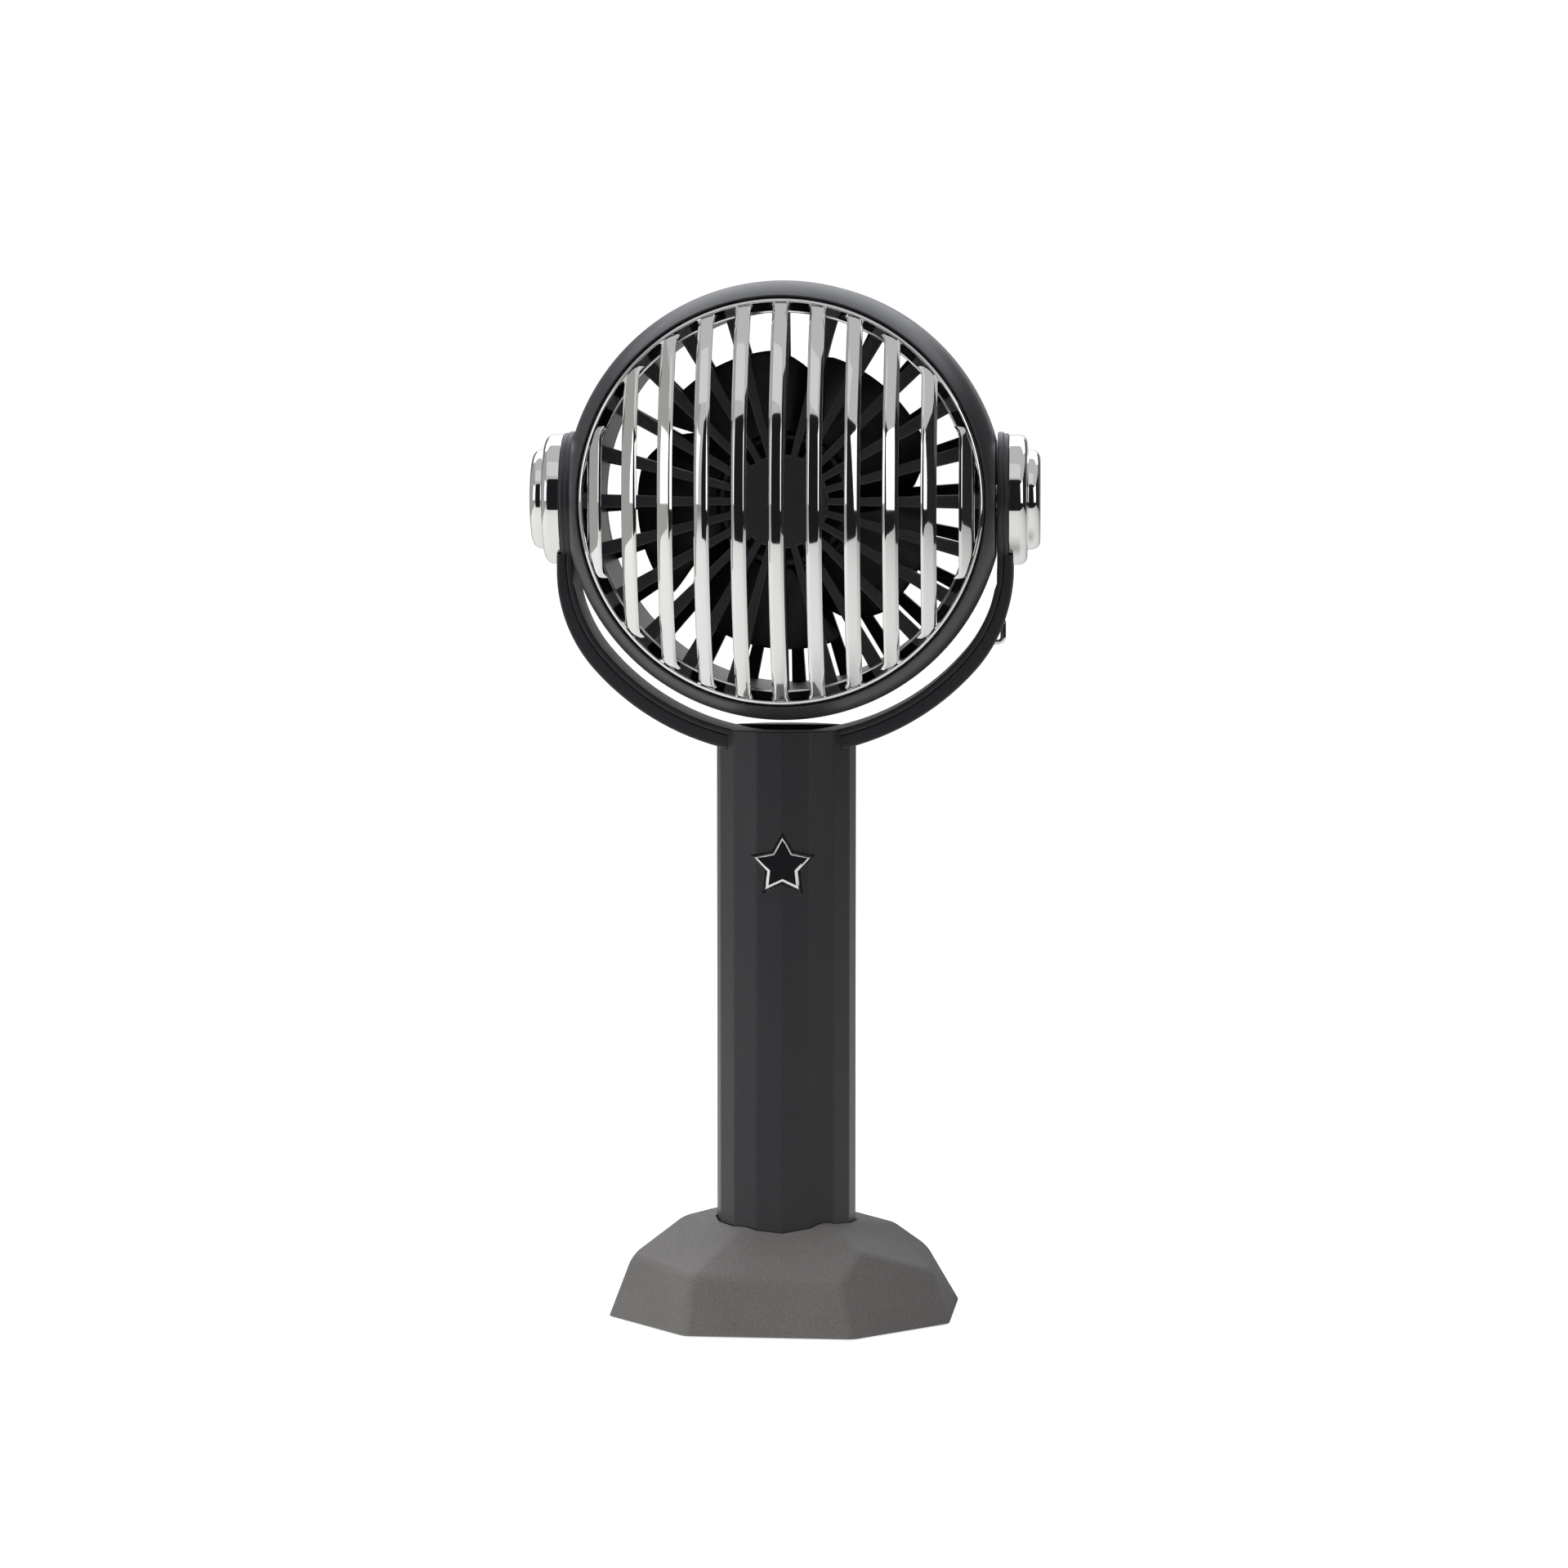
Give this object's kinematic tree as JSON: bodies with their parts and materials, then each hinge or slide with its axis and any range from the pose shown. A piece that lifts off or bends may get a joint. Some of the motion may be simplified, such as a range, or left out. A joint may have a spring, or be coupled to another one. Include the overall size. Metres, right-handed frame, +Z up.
{
  "type": "desk fan",
  "caption": "Rechargeable hand fan in retro microphone style with a chrome domed grille, tilting in a yoke and standing in a faceted desk stand.",
  "frame": {"origin": "centre of the stand's underside, on the handle's axis", "axes": "+Z up, the fan blows towards -Y, +X to the right seen from the front"},
  "size_m": [0.1034, 0.0747, 0.2113],
  "materials": {
    "housing_charcoal": "matte moulded charcoal plastic, fine grain",
    "guard_charcoal": "matte dark grey plastic",
    "fan_black": "satin black plastic",
    "chrome_plating": "bright chrome plating on moulded plastic",
    "loop_chrome": "bright chrome wire",
    "stand_grey": "warm grey rubbery soft-touch plastic",
    "pad_rubber": "black rubber",
    "stand_steel": "dark painted steel",
    "bright_steel": "bright steel",
    "magnet_grey": "sintered magnet",
    "bronze": "sintered bronze",
    "copper_wire": "enamelled copper wire",
    "ivory_plastic": "ivory nylon",
    "cell_sleeve": "plain blue shrink sleeve",
    "tab_nickel": "nickel strip",
    "board_green": "glass epoxy with green solder resist",
    "switch_black": "black nylon",
    "socket_steel": "plated steel shell",
    "lead_black": "black PVC insulation"
  },
  "bodies": {
    "stand": {"stand_block": "stand_grey", "stand_weight": "stand_steel", "stand_plate": "stand_steel", "stand_screws": "bright_steel", "anti_slip_pad": "pad_rubber"},
    "handle": {"yoke": "housing_charcoal", "yoke_liner": "housing_charcoal", "left_pivot_cap": "chrome_plating", "right_pivot_cap": "chrome_plating", "pivot_washers": "bright_steel", "yoke_lead": "lead_black", "lanyard_loop": "loop_chrome", "handle_front_shell": "housing_charcoal", "handle_rear_shell": "housing_charcoal", "handle_end_cap": "housing_charcoal", "handle_screws": "bright_steel", "battery_cell": "cell_sleeve", "battery_tabs": "tab_nickel", "main_board": "board_green", "power_switch": "switch_black", "charge_board": "board_green", "charge_socket": "socket_steel"},
    "head": {"front_housing": "housing_charcoal", "rear_housing": "housing_charcoal", "duct_liner": "fan_black", "chrome_grille": "chrome_plating", "front_guard": "guard_charcoal", "rear_guard": "fan_black", "motor_can": "bright_steel", "motor_magnets": "magnet_grey", "motor_bushes": "bronze", "motor_end_cap": "ivory_plastic", "motor_screws": "bright_steel", "left_pivot_pin": "bright_steel", "right_pivot_pin": "bright_steel", "head_lead": "lead_black"},
    "rotor": {"impeller": "fan_black", "motor_shaft": "bright_steel", "armature_core": "bright_steel", "armature_windings": "copper_wire", "commutator": "bronze"},
    "button": {"star_button": "chrome_plating", "switch_plunger": "ivory_plastic"}
  },
  "joints": [
    {"name": "handle_lift", "type": "slide", "parent": "stand", "child": "handle", "axis": [0, 0, 1], "range_m": [0, 0.03]},
    {"name": "head_tilt", "type": "hinge", "parent": "handle", "child": "head", "pos_m": [0, 0, 0.167], "axis": [1, 0, 0], "range_deg": [-90, 90]},
    {"name": "fan_spin", "type": "hinge", "parent": "head", "child": "rotor", "pos_m": [0, 0, 0.167], "axis": [0, -1, 0], "continuous": true},
    {"name": "button_press", "type": "slide", "parent": "handle", "child": "button", "axis": [0, 1, 0], "range_m": [0, 0.0005], "stiffness_N_per_m": 1500}
  ]
}
